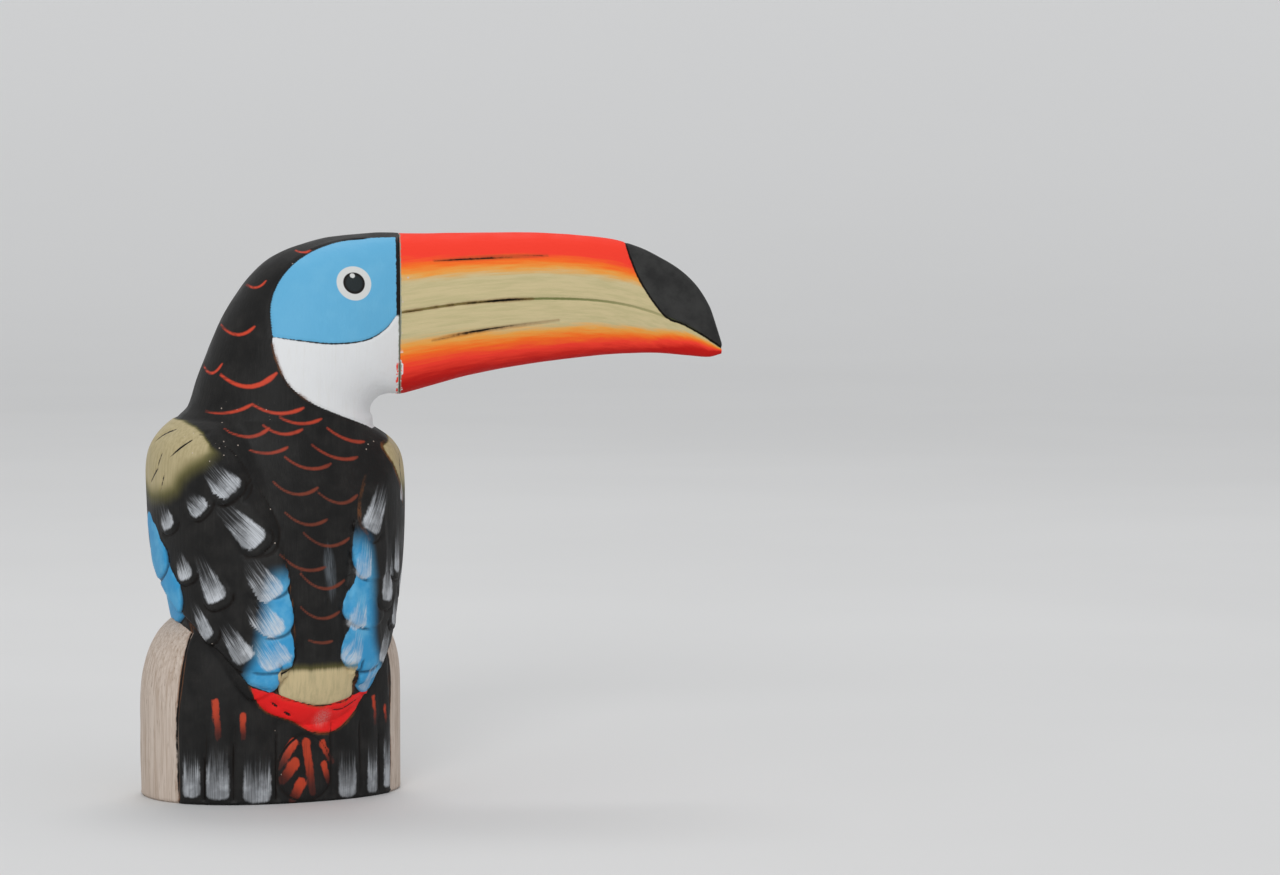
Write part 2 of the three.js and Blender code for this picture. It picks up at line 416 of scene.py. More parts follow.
EDGE_BLUE = mirrored([(96, 94, 85.5, 79, 17), (92, 87, 83, 62.5, 25)])
# Where the blue of the inner feathers fades out towards the outside: height, angle
LEFT_BLUE_FADE = [(38, -38), (45, -34), (52, -29.5), (60, -27.5), (70, -26), (80, -24), (94, -20)]
RIGHT_BLUE_FADE = [(36, 46), (43, 40), (50, 32), (58, 27), (68, 26.5), (78, 27), (90, 26), (106, 23)]
BLUE_FADE_HALF_WIDTH = 4.5
LEFT_BLUE_TOP = (76, 86)
RIGHT_BLUE_TOP = (86, 98)
TAIL_DABS = [
    (-60, 24, -60, 2.4, 6.5), (-48, 25, -48, 1.8, 8.4), (-29, 22, -29, 0.5, 11),
    (23, 22, 23, 0.6, 8.6), (39, 24, 39, 1.2, 5.6), (50, 30, 50, 2.2, 4.6),
]
# Red brush marks on the tail, each strongest at its upper end
TAIL_REDS = [
    (-47.5, 24, -49, 37.8, 2.8), (-36, 24, -36, 33, 2.6), (41, 26, 40, 36.4, 1.9), (49, 26, 48, 32.6, 1.6),
    (-17.5, 13.6, -8, 23, 4), (1.5, 4, -3, 23.2, 4), (13.5, 14, 6.5, 22, 3.2), (-15.5, 8.6, -7, 16, 4.8),
    (11.5, 7, 8, 14.6, 3), (-10, 1.5, -4, 9, 4.5),
]
# Half-dry brushwork: field name, strokes, share of the width at the root, roundness of the corners
BRUSHWORK = [("dab", DABS, 0.55, 3.2), ("flick", TAIL_DABS, 0.85, 3.2), ("pale", PALE_DABS, 0.5, 2.0)]
# The last two of these for the red marks
TAIL_RED_SHAPE = (0.8, 2.0)
TAIL_BORDERS = [-66, -54, -41, -19, 13.5, 32, 45, 54]
TAIL_BORDER_Z = (0.5, 12, 28)
TAIL_BORDER_LEAN = 0.97
TAIL_FLUTE = 0.9
TAIL_FLUTE_TOP_Z = 42
TAIL_FLUTE_FULL_Z = 20
TAIL_FLUTE_POWER = 0.7
TAIL_FLUTE_LEVEL = 0.6
FEATHER_LONGER = 0.14
FEATHER_WIDER = 2.4
FEATHER_LIFT = 0.9
FEATHER_RISE_POWER = 1.5
LOBE_LIFT = 1.0
LOBE_START = 0.25
LOBE_ROOT = 0.72
EDGE_LOBE_ROOT = 0.55
LOBE_OVERHANG = 4.0
GROOVE_DEPTH = 0.5
# Relief rises between these distances inside an edge
FEATHER_EDGE = (-0.5, 0.7)
LOBE_EDGE = (-0.4, 1.2)
RAISED_EDGE = (-0.4, 0.6)
GROOVE_EDGE = (-0.7, 0.3)
# Relief dies out this near to the foot and to the seam
FLAT_FOOT = 2.0
FLAT_SEAM = 1.5
# Lines round the tips of feathers, lobes and toes: share of the length where they start, half width
FEATHER_LINE = (0.84, 0.4)
INNER_LOBE_LINE = (0.6, 0.2)
EDGE_LOBE_LINE = (0.6, 0.25)
TOE_LINE = (0.1, 0.4)
TIP_LINE_OUT = 0.3
TIP_LINE_END = 10.0
# Lowers a line out of sight where paint covers it
LINE_HIDDEN = 2.0
LOBE_LINE_SPILL = 1.0
# Half widths of the other burnt lines and of the bib's red band
TAIL_LINE = 0.4
OVAL_LINE = 0.45
FACE_BACK_LINE = 0.42
FACE_LOW_LINE = 0.28
THROAT_LINE = 0.2
THROAT_SCORCH_LINE = 0.1
BIB_BAND_LINE = 1.1
# Sets the streaks of neighbouring strokes apart
STREAK_SHIFT = 7.0
RUMP_LIFT = 0.5
CRESCENT_LIFT = 0.6
# Slight unevenness of the carved surface: height, waves per millimetre, seed
BODY_WAVES = [(0.22, 0.055, 3.0), (0.088, 0.17, 9.0)]
BEAK_WAVES = [(0.22, 0.05, 5.0), (0.066, 0.15, 2.0)]

# Red scallops, each a brush arc: start, lowest part, end, half width; in the head's side view
HEAD_SCALLOPS = [
    ((9.5, 194), (12.5, 193.3), (15, 194.2), 0.4),
    ((-8, 182), (-5, 181), (-1, 183.4), 0.44),
    ((-17, 167.6), (-11.3, 164.5), (-5, 167.4), 0.52),
    ((-23, 153), (-21, 150.8), (-16.5, 154.2), 0.48),
    ((-17, 150.4), (-7, 146.5), (2.5, 151.2), 0.85),
    ((-22.5, 137.5), (-13.5, 137.4), (-6, 140.4), 0.48),
    ((-6, 140.4), (3, 137.2), (12, 139), 0.52),
]
# The same on the back, in the torso chart
BACK_SCALLOPS = [
    ((-19, 135.8), (-7, 133.6), (9, 135), 0.48),
    ((-53, 132), (-41, 129), (-26, 132), 0.52),
    ((-30, 133), (-18, 130), (-4, 131.5), 0.48),
    ((13, 131.7), (26, 127.6), (41, 126.2), 0.52),
    ((-38, 124.4), (-26, 123.3), (-14, 125.3), 0.48),
    ((2, 126), (17, 121.2), (33, 121), 0.52),
    ((-16, 122), (-1, 117.8), (13, 119.2), 0.52),
    ((-23, 113.5), (-11, 109.2), (2, 111.2), 0.52),
    ((2, 109.4), (14, 105.5), (25, 108), 0.52),
    ((-17, 103), (-6, 98.6), (5, 100.2), 0.48),
    ((-8, 95.8), (5, 90.8), (17, 93.2), 0.48),
    ((-20, 88.6), (-8, 82.9), (3, 83.6), 0.48),
    ((-10, 81.6), (2, 76), (13, 78.6), 0.48),
    ((-10, 70), (-1, 65.8), (10, 67.8), 0.44),
    ((-6, 58.4), (0, 57.2), (6, 57.6), 0.4),
]

# Painted areas

# The face's back edge is a quarter of an ellipse in the head's side view, run on down to a corner
FACE_MIDDLE = (35, 173)
FACE_HALF = (34.7, 25.4)
FACE_CORNER = (1.2, 164)
FACE_BACK = [
    (FACE_MIDDLE[0] - FACE_HALF[0] * math.sin(turn), FACE_MIDDLE[1] + FACE_HALF[1] * math.cos(turn))
    for turn in np.radians(np.linspace(0, 90, 8))
] + [FACE_CORNER]
FACE_LOW = [FACE_CORNER, (12, 162.5), (23, 161.4), (34, 162.4), (41, 166), (45.2, 171)]
THROAT_BACK = [(1.2, 161.6), (3, 154.8), (7.2, 146.8), (15, 140.6), (25, 136), (34, 132), (41.2, 126.6)]
FACE_FRONT = [(48, 172), (48, 198.7)]
# Angles and height between which the throat's white runs down over the front of the torso
THROAT_FROM = 30
THROAT_TO = -150
THROAT_LOW_Z = 124
THROAT_FRONT = [(60, 126.6), (60, 178), (48, 172)]
# The white ends where the wing stands this far off the trunk; slopes turn such heights into distances
WHITE_WING_LIMIT = 0.5
WHITE_EDGE_SLOPE = 2.0
STUMP_EDGE_SLOPE = 1.5
# The bib's lower edge, and a red band just under it
BIB_LOW = [(122, 122), (140, 113), (158, 109), (176, 110), (190, 114.5), (199.5, 121)]
BIB = [(88, 142), (104, 132)] + BIB_LOW + [(201, 128), (194, 134), (180, 138), (162, 140.5), (140, 142)]
BIB_BAND_DROP = 1.2
BIB_BAND = [(degrees, height - BIB_BAND_DROP) for degrees, height in BIB_LOW]
EYE = (30.1, 182.6)
EYE_GLINT = (29.5, 185.2)
CREAM_LEFT = [(-128, 142), (-96, 135), (-80, 133.4), (-70, 132.2), (-62, 130.3), (-56, 127), (-53, 124),
              (-56, 121), (-63, 118), (-68, 114.5), (-71, 110.5), (-78, 108.4), (-92, 107), (-112, 112),
              (-130, 124)]
CREAM_RIGHT = [(68, 127.8), (58, 126.4), (50, 124.5), (49, 121), (51, 117), (56, 110), (60, 103), (66, 98),
               (84, 98), (104, 106), (128, 120), (128, 134), (90, 130)]
CREAM_RIGHT_Z = (100, 118)
CREAM_RIGHT_EDGE = (-0.4, 0.4)
CREAM_ON_WING = (0.3, 0.8)
CREAM_FADE = 5.5
CREAM_CRISPNESS = 0.9
CREAM_CRISP_FROM_Z = 121
CREAM_CRISP_TO_Z = 127
# The rump and the red crescent share a round edge
RUMP_LOW = [(-18.5, 39.4), (-6, 36), (5, 34.8), (21, 37.4)]
RUMP = [(-19.5, 47), *smooth_line(RUMP_LOW), (17.5, 46.7), (17, 51), (-16, 51)]
CRESCENT_LOW = [(-32, 42.4), (-26, 33.6), (-10, 29), (1, 25), (15, 24.8), (28, 31.6), (33, 39)]
CRESCENT = [*smooth_line(RUMP_LOW), *smooth_line(CRESCENT_LOW)[::-1]]

# Dark burnt lines, and burnt lines with a brown scorched edge, each with its half width
DARK_LINES = [
    ([(-56, 129), (-45, 123.8), (-36, 116.3), (-33.5, 111.2), (-36, 107)], 0.5),
    ([(-38, 108.6), (-42, 106.4), (-47, 105)], 0.6),
    ([(-29, 110.8), (-21, 99.9), (-20, 94.1), (-24, 88.8), (-36, 87.2)], 0.6),
    ([(-101, 125.6), (-93, 129.2), (-84, 131.6)], 0.5), ([(-77, 121.4), (-71, 125.4), (-66, 128.3)], 0.45),
    ([(-86, 117), (-83.5, 123.4)], 0.4), ([(-94, 112), (-85, 117.6)], 0.4),
    ([(-82, 110), (-79, 116)], 0.35), ([(-65, 130.1), (-59, 130.3)], 0.35),
    ([(62, 122), (58, 117), (57, 111)], 0.35), ([(70, 126), (66, 121)], 0.35), ([(76, 116), (72, 109)], 0.35),
    ([(8, 33.4), (16, 32.9), (27, 36)], 0.3), ([(-22, 36.8), (-19, 35)], 0.55),
    ([(-15.5, 33.2), (-12, 31.6)], 0.55), ([(4, 75.8), (4, 70)], 0.3),
    (WING_LOW_EDGE[:0:-1], 0.4), ([(-degrees, height) for degrees, height in WING_LOW_EDGE[:0:-1]], 0.5),
]
SCORCHED_LINES = [
    ([(33, 114.5), (25.5, 106), (23, 98), (26, 92.4)], 0.14),
    ([(66, 127.6), (57, 126.4), (49.5, 124.4), (50, 117.5), (55, 110), (59, 102)], 0.12),
    ([(-52, 56), (-60, 60), (-73, 65)], 0.6), ([(52, 56), (60, 60), (73, 65)], 0.6),
    ([(TAIL_FROM, 0.6), (TAIL_FROM - 1, 24), (TAIL_FROM + 1, 45), (TAIL_FROM - 2, 62)], 0.6),
    ([(TAIL_TO, 0.6), (TAIL_TO, 20), (TAIL_TO - 2, 42), (TAIL_TO, 58)], 0.6),
    (CRESCENT_LOW, 0.15),
    ([(-18, 47.6)] + RUMP_LOW + [(17.5, 47)], 0.25),
    ([(-18, 88), (-15, 77), (-13, 65), (-13, 54), (-16, 45)], 0.1),
]
# Egg-shaped outline at the foot of the tail: middle, half sizes, and how much narrower its top is
OVAL_MIDDLE = (-2.4, 12.4)
OVAL_HALF = (16.2, 11.8)
OVAL_EGG = 0.16
TAIL_OVAL = [
    (OVAL_MIDDLE[0] + OVAL_HALF[0] * (1 - OVAL_EGG * math.sin(turn)) * math.cos(turn),
     OVAL_MIDDLE[1] + OVAL_HALF[1] * math.sin(turn))
    for turn in np.linspace(0, 2 * math.pi, 13)
]
# Pale paint specks: middle angle, middle height, radius
SPECK_PATCHES = [(-60, 132, 14), (-46, 125, 8), (44, 126, 7), (-30, 137, 9)]
# Rubbed pale patch on the red crescent, which is also a painted highlight: middle angle, middle height,
# radius
CRESCENT_WEAR_AND_HIGHLIGHT = (5.5, 30.2, 5.0)
BACK_SHEEN = ([(4.5, 93), (5.2, 84), (6.2, 70)], 3.0)

# Toes on the hidden front of the stump: from angle, from height, tip angle, tip height, width
TOES = mirrored([(157, 64, 163, 46, 6.5), (144, 63, 146, 47, 6.5)])
TOE_LIFT = 3.0
TOE_ROUNDING = 3.0


def unevenness(points, waves):
    total = np.zeros(len(points))
    for height, scale, seed in waves:
        offset = Vector((seed, seed, seed))
        total += height * np.array([noise.noise(Vector(p) * scale + offset) for p in points])
    return total


def grid_normals(grid):
    """Outward unit normals of a grid of rows that close on themselves."""
    around = np.roll(grid, -1, axis=1) - np.roll(grid, 1, axis=1)
    up = np.gradient(grid, axis=0)
    normal = np.cross(around, up)
    return normal / np.maximum(np.linalg.norm(normal, axis=2, keepdims=True), 1e-9)


def carve(grid, relief):
    return grid + relief.reshape(*grid.shape[:2], 1) * grid_normals(grid)


def body_grid():
    """Grid of body points, with the chart angle and both heights that torso_surface gives."""
    back = np.linspace(BACK_FROM, BACK_TO, BACK_COLUMNS, endpoint=False)
    front = np.linspace(BACK_TO, BACK_FROM + 360, FRONT_COLUMNS, endpoint=False)
    columns = wrap(np.radians(np.concatenate([back, front])))
    heights = np.concatenate([[0.0], np.linspace(FOOT_BEVEL, NECK_Z, TORSO_ROWS, endpoint=False)])
    turns = np.linspace(0, 90, HEAD_ROWS)
    angle, z = np.meshgrid(columns, heights)
    torso, proud, wing = torso_surface(angle, z)
    head_angle, turn = np.meshgrid(columns, turns)
    grid = np.concatenate([torso, head_rows(head_angle, turn)])
    angle = np.concatenate([angle, head_angle])
    proud = np.concatenate([proud, np.full(head_angle.shape, FAR)])
    wing = np.concatenate([wing, np.zeros(head_angle.shape)])
    return grid, angle.ravel(), proud.ravel(), wing.ravel()


def best_tongue(angle, z, feathers, root=0.5, corner=2.6):
    """Inside distance, length share and across distance of the feather that a point lies deepest in."""
    inside = np.full(angle.shape, -FAR)
    share = np.zeros(angle.shape)
    across = np.zeros(angle.shape)
    for number, feather in enumerate(feathers):
        here, run, side = tongue(angle, z, feather, root, corner)
        better = here > inside
        inside = np.where(better, here, inside)
        share = np.where(better, run, share)
        across = np.where(better, side + STREAK_SHIFT * number, across)
    return inside, share, across


def tip_lines(angle, z, feathers, reach, half_width, root=0.5):
    """Outlines round the lower end of each feather, positive on a line."""
    field = np.full(angle.shape, -FAR)
    for feather in feathers:
        inside, share, _ = tongue(angle, z, feather, root)
        line = half_width - np.abs(inside + TIP_LINE_OUT) - TIP_LINE_END * np.maximum(0.0, reach - share)
        field = np.maximum(field, line)
    return field


def torso_strokes(lines):
    return [(torso_line(points), half_width) for points, half_width in lines]


def head_strokes(lines):
    """The lines on both sides of the head."""
    return [(head_line(points, side), half_width) for points, half_width in lines for side in (1, -1)]


def dark_lines():
    """Every dark burnt line of the body as a line on its surface and a half width."""
    low, middle, top = TAIL_BORDER_Z
    borders = [
        ([(border, low), (border, middle), (border * TAIL_BORDER_LEAN, top)], TAIL_LINE)
        for border in TAIL_BORDERS[1:-1]
    ]
    lines = torso_strokes(DARK_LINES + borders + [(TAIL_OVAL, OVAL_LINE)])
    lines += head_strokes([(FACE_BACK, FACE_BACK_LINE), (FACE_LOW[::-1], FACE_LOW_LINE)])
    lines.append((head_line(THROAT_BACK[:-1], 1), THROAT_LINE))
    lines.append((head_line(THROAT_BACK[:3], -1), THROAT_LINE))
    return lines


def patch(angle, z, middle_angle, middle_z, radius):
    """One in the middle of a round patch of the chart, falling to nothing at its rim."""
    x = CHART_RADIUS * (angle - math.radians(middle_angle))
    return np.clip(1 - np.hypot(x, z - middle_z) / radius, 0, 1)


def inner_blue_cover(angle, z):
    """Share of blue on the inner wing feathers, fading out towards the outer wing."""
    degrees = np.degrees(angle)
    left = degrees - along(LEFT_BLUE_FADE, z)[..., 0]
    right = along(RIGHT_BLUE_FADE, z)[..., 0] - degrees
    inward = np.where(degrees < 0, left, right)
    over_top = np.where(degrees < 0, smoothstep(z, *LEFT_BLUE_TOP), smoothstep(z, *RIGHT_BLUE_TOP))
    return smoothstep(inward, -BLUE_FADE_HALF_WIDTH, BLUE_FADE_HALF_WIDTH) * (1 - over_top)


def head_eye_distance(vertices, place):
    """Distance to the nearer of the two points of the head's sides at a place of its side view."""
    points = [head_surface(np.array(place[0]), np.array(place[1]), side) for side in (1, -1)]
    return np.minimum(*(np.linalg.norm(vertices - point, axis=1) for point in points))


def limited(distance):
    """A signed distance, cut off where it is too far to matter."""
    return np.clip(distance, -FAR, FAR)


def head_fields(vertices, angle, wing, torso):
    """Blue face, white throat and bib, eye and seam."""
    z = vertices[:, 2]
    reach = vertices @ beak_direction
    degrees = np.degrees(angle)
    face_low = smooth_line(FACE_LOW)
    face = np.concatenate([smooth_line(FACE_BACK), face_low, FACE_FRONT])
    throat_outline = np.concatenate([smooth_line(THROAT_BACK), THROAT_FRONT, face_low[::-1]])
    forward = (degrees > THROAT_FROM) | (degrees < THROAT_TO) | (z > NECK_Z)
    throat = np.where(forward & (z > THROAT_LOW_Z), inside_distance(reach, z, throat_outline), -FAR)
    turned_angle = np.where(angle < 0, angle + 2 * math.pi, angle)
    bib = np.where(torso, chart_inside(turned_angle, z, smooth_line(BIB)), -FAR)
    off_wing = WHITE_EDGE_SLOPE * (WHITE_WING_LIMIT - wing)
    return {
        "face": limited(inside_distance(reach, z, face)),
        "white": limited(np.minimum(np.maximum(throat, bib), off_wing)),
        "eye": head_eye_distance(vertices, EYE),
        "glint": head_eye_distance(vertices, EYE_GLINT),
        "seam": PIVOT_REACH - reach,
    }


def trunk_fields(angle, z, proud, wing, torso):
    """Bare wood, cream shoulders, rump and crescent, toes, the crescent's rubbed patch and painted highlight,
    and specks.
    """
    degrees = np.degrees(angle)
    beside_tail = CHART_RADIUS * np.radians(np.maximum(TAIL_FROM - degrees, degrees - TAIL_TO))
    fade = CREAM_FADE * (1.0 - CREAM_CRISPNESS * smoothstep(z, CREAM_CRISP_FROM_Z, CREAM_CRISP_TO_Z))
    left_cream = np.clip(0.5 + 0.5 * chart_inside(angle, z, CREAM_LEFT) / fade, 0, 1)
    right_inside = smoothstep(chart_inside(angle, z, CREAM_RIGHT), *CREAM_RIGHT_EDGE)
    right_cream = right_inside * smoothstep(z, *CREAM_RIGHT_Z)
    cream = smoothstep(wing, *CREAM_ON_WING) * np.maximum(left_cream, right_cream)
    return {
        "wood": limited(np.minimum(-proud * STUMP_EDGE_SLOPE, beside_tail)),
        "cream": np.where(torso, cream, 0.0),
        "rump": np.where(torso, limited(chart_inside(angle, z, RUMP)), -FAR),
        "crescent": np.where(torso, limited(chart_inside(angle, z, CRESCENT)), -FAR),
        "wear_and_highlight": patch(angle, z, *CRESCENT_WEAR_AND_HIGHLIGHT),
        "speck": np.maximum.reduce([patch(angle, z, *place) for place in SPECK_PATCHES]),
        "toe": best_tongue(angle, z, TOES)[0],
    }


def wing_fields(angle, z, torso, on_wing):
    """Blue lobes and brushwork; also gives the burnt lines round the tips of the feathers."""
    inner = best_tongue(angle, z, INNER_BLUE, LOBE_ROOT)[0]
    edge = best_tongue(angle, z, EDGE_BLUE, EDGE_LOBE_ROOT)[0]
    panel = chart_inside(np.abs(angle), z, WING_OUTLINE)
    low_edge = along(WING_LOW_EDGE, np.abs(np.degrees(angle)))[..., 0]
    over_edge = np.where(angle < 0, z - low_edge, FAR)
    inner = np.minimum(inner, np.minimum(panel + LOBE_OVERHANG, over_edge))
    inner_cover = inner_blue_cover(angle, z)
    blue = np.where(torso, np.maximum(inner, edge), -FAR)
    inner_lines = tip_lines(angle, z, INNER_BLUE, *INNER_LOBE_LINE, LOBE_ROOT)
    inner_lines -= LINE_HIDDEN * (1 - inner_cover)
    edge_lines = tip_lines(angle, z, EDGE_BLUE, *EDGE_LOBE_LINE, EDGE_LOBE_ROOT)
    lobe_lines = np.minimum(np.maximum(inner_lines, edge_lines), blue + LOBE_LINE_SPILL)
    fields = {
        "blue": blue,
        "blue_cover": np.where(inner > edge, inner_cover, 1.0),
        "lobe": np.where(on_wing, lobe_lines, -FAR),
    }
    for name, strokes, root, corner in BRUSHWORK:
        inside, run, across = best_tongue(angle, z, strokes, root, corner)
        fields |= {name: inside, name + "_run": run, name + "_across": across}
    fields["mark"], fields["mark_run"], _ = best_tongue(angle, z, TAIL_REDS, *TAIL_RED_SHAPE)
    feathers = [feather_under(dab) for dab in DABS]
    feather_tips = tip_lines(angle, z, feathers, *FEATHER_LINE) - LINE_HIDDEN * inner_cover * (inner > 0)
    return fields, np.where(on_wing, feather_tips, -FAR)


def line_fields(vertices, angle, torso, feather_tips):
    """Red scallops and band, the sheen on the back, and scorched and burnt lines."""
    back_scallops = torso_strokes([(arc(points), width) for *points, width in BACK_SCALLOPS])
    head_scallops = head_strokes([(arc(points), width) for *points, width in HEAD_SCALLOPS])
    scallops = stroke_field(vertices, back_scallops + head_scallops, 0.5, widening_taper)
    bib_band = stroke_field(vertices, torso_strokes([(BIB_BAND, BIB_BAND_LINE)]))
    throat_scorch = head_strokes([(THROAT_BACK[:4], THROAT_SCORCH_LINE)])
    scorch = stroke_field(vertices, torso_strokes(SCORCHED_LINES) + throat_scorch, blunt=0.2)
    dark = stroke_field(vertices, dark_lines(), blunt=0.4)
    toes = np.where(torso, tip_lines(angle, vertices[:, 2], TOES, *TOE_LINE), -FAR)
    return {
        "red": np.maximum(scallops, bib_band),
        "sheen": stroke_field(vertices, torso_strokes([BACK_SHEEN])),
        "scorch": scorch,
        "burn": np.maximum.reduce([dark, feather_tips, toes, scorch]),
    }


def body_fields(vertices, angle, proud, wing):
    """Signed distances and shares of every marking, one value per vertex."""
    z = vertices[:, 2]
    torso = z < NECK_Z + CHART_OVER_NECK
    fields, feather_tips = wing_fields(angle, z, torso, torso & (proud > 0))
    fields |= head_fields(vertices, angle, wing, torso)
    fields |= trunk_fields(angle, z, proud, wing, torso)
    fields |= line_fields(vertices, angle, torso, feather_tips)
    return fields


def wing_lift(angle, z):
    """Height of the carved feathers and blue lobes over the wing."""
    lift = np.zeros(len(z))
    for dab in DABS:
        inside, run, _ = tongue(angle, z, feather_under(dab))
        lift = np.maximum(lift, FEATHER_LIFT * smoothstep(inside, *FEATHER_EDGE) * run ** FEATHER_RISE_POWER)
    lobes = [(lobe, LOBE_ROOT) for lobe in INNER_BLUE]
    for lobe, root in lobes + [(lobe, EDGE_LOBE_ROOT) for lobe in EDGE_BLUE]:
        inside, run, _ = tongue(angle, z, lobe, root)
        rise = LOBE_START + (1 - LOBE_START) * run
        lift = np.maximum(lift, LOBE_LIFT * smoothstep(inside, *LOBE_EDGE) * rise)
    return lift


def tail_flutes(angle, z, proud):
    """Rounded long feathers of the tail, with hollows between them."""
    degrees = np.degrees(angle)
    below_top = smoothstep(-z, -TAIL_FLUTE_TOP_Z, -TAIL_FLUTE_FULL_Z)
    on_tail = tail_share(angle) * smoothstep(-proud, 0.0, 1.5) * below_top
    bulge = np.zeros(len(z))
    for start, end in zip(TAIL_BORDERS[:-1], TAIL_BORDERS[1:]):
        t = np.clip((degrees - start) / (end - start), 0, 1)
        bulge = np.maximum(bulge, np.sin(np.pi * t) ** TAIL_FLUTE_POWER)
    return TAIL_FLUTE * (bulge - TAIL_FLUTE_LEVEL) * on_tail * smoothstep(z, 0, FLAT_FOOT)


def body_relief(vertices, angle, proud, fields):
    """How far the carving stands out from the plain form, in millimetres."""
    z = vertices[:, 2]
    relief = unevenness(vertices, BODY_WAVES)
    relief += wing_lift(angle, z) * smoothstep(proud, 0.0, 1.0) * (z < NECK_Z)
    relief += tail_flutes(angle, z, proud)
    relief += RUMP_LIFT * smoothstep(fields["rump"], *RAISED_EDGE)
    relief += CRESCENT_LIFT * smoothstep(fields["crescent"], *RAISED_EDGE)
    relief += TOE_LIFT * np.sqrt(np.clip(fields["toe"] / TOE_ROUNDING, 0, 1))
    relief -= GROOVE_DEPTH * smoothstep(np.maximum(fields["burn"], fields["lobe"]), *GROOVE_EDGE)
    return relief * smoothstep(z, 0.0, FLAT_FOOT) * smoothstep(fields["seam"], 0.0, FLAT_SEAM)


def add_object(name, data):
    item = bpy.data.objects.new(name, data)
    bpy.context.collection.objects.link(item)
    return item


def mesh_object(name, grid, fields, start_centre, end_centre):
    """A closed mesh from a grid of rows, capped at both ends, with one float attribute per field."""
    rows, columns = grid.shape[:2]
    vertices = np.concatenate([grid.reshape(-1, 3), [start_centre, end_centre]])
    index = np.arange(rows * columns).reshape(rows, columns)
    right = np.roll(index, -1, axis=1)
    quads = np.stack([index[:-1], right[:-1], right[1:], index[1:]], axis=-1).reshape(-1, 4)
    first = rows * columns
    start = [(first, int(b), int(a)) for a, b in zip(index[0], right[0])]
    end = [(first + 1, int(a), int(b)) for a, b in zip(index[-1], right[-1])]
    mesh = bpy.data.meshes.new(name)
    mesh.from_pydata((vertices * MM).tolist(), [], quads.tolist() + start + end)
    mesh.update()
    for key, values in fields.items():
        attribute = mesh.attributes.new(key, "FLOAT", "POINT")
        ends = [values[0], values[-1]]
        attribute.data.foreach_set("value", np.concatenate([values, ends]).astype(np.float32))
    mesh.shade_smooth()
    mesh.set_sharp_from_angle(angle=math.radians(SHARP_FROM))
    return add_object(name, mesh)


def make_body():
    grid, angle, proud, wing = body_grid()
    vertices = grid.reshape(-1, 3)
    fields = body_fields(vertices, angle, proud, wing)
    carved = carve(grid, body_relief(vertices, angle, proud, fields))
    return mesh_object("toucan_body", carved, fields, (0.0, 0.0, 0.0), carved[-1].mean(axis=0))


# Beak

MOUTH = [(0, 172), (25, 175.3), (55, 176.7), (80, 174.5), (102, 167.1), (BEAK_LENGTH, 158.6)]
# Burnt dashes along the mouth: from, to, half width
MOUTH_DASHES = [(0, 9, 0.3), (10, 14.5, 0.32), (15.5, 20, 0.32), (20.5, 30, 0.3), (26, 47.5, 0.42)]
# Edge of the black tip: down from the top of the beak, then along the mouth
TIP_EDGE = [(81.4, 205), (81.6, 195), (86.4, 182.4), (94.9, 170.4)]
TIP_MOUTH = [102, 109, BEAK_LENGTH]
TIP_BEYOND = [(125, 150), (125, 205)]
BEAK_LINES = [
    ([(12, 190.3), (29.5, 191.3), (52.7, 192.1)], 0.42),
    ([(56.6, 169), (33.6, 166.1), (22, 164.2), (11.5, 162)], 0.45),
]
BEAK_GROOVE = 0.35


def beak_grid():
    left = 1 - np.linspace(0, 1, BEAK_ROWS)
    reach = BEAK_LENGTH * (1 - left ** 2 * (0.6 + 0.4 * left))
    columns = np.linspace(0, 2 * math.pi, BEAK_COLUMNS, endpoint=False)
    angle, reach = np.meshgrid(columns, reach)
    top, bottom, half_thickness = np.moveaxis(along(BEAK_STATIONS, reach), -1, 0)
    power = BEAK_POWER_ROOT + (BEAK_POWER_TIP - BEAK_POWER_ROOT) * reach / BEAK_LENGTH
    radius = section_radius(np.sin(angle), np.cos(angle), (top - bottom) / 2, half_thickness, power)
    flat = (PIVOT_REACH + SEAM_GAP + reach)[..., None] * beak_direction
    flat = flat + (radius * np.cos(angle))[..., None] * head_side
    flat[..., 2] = (top + bottom) / 2 - radius * np.sin(angle)
    return flat, reach, top, bottom


def flat_strokes(run, z, strokes):
    """Strokes drawn in the beak's side view."""
    lines = []
    for points, half_width in strokes:
        fine = smooth_line(points)
        lines.append((np.stack([fine[:, 0], 0 * fine[:, 0], fine[:, 1]], axis=1), half_width))
    return stroke_field(np.stack([run, 0 * run, z], axis=1), lines, blunt=0.8)


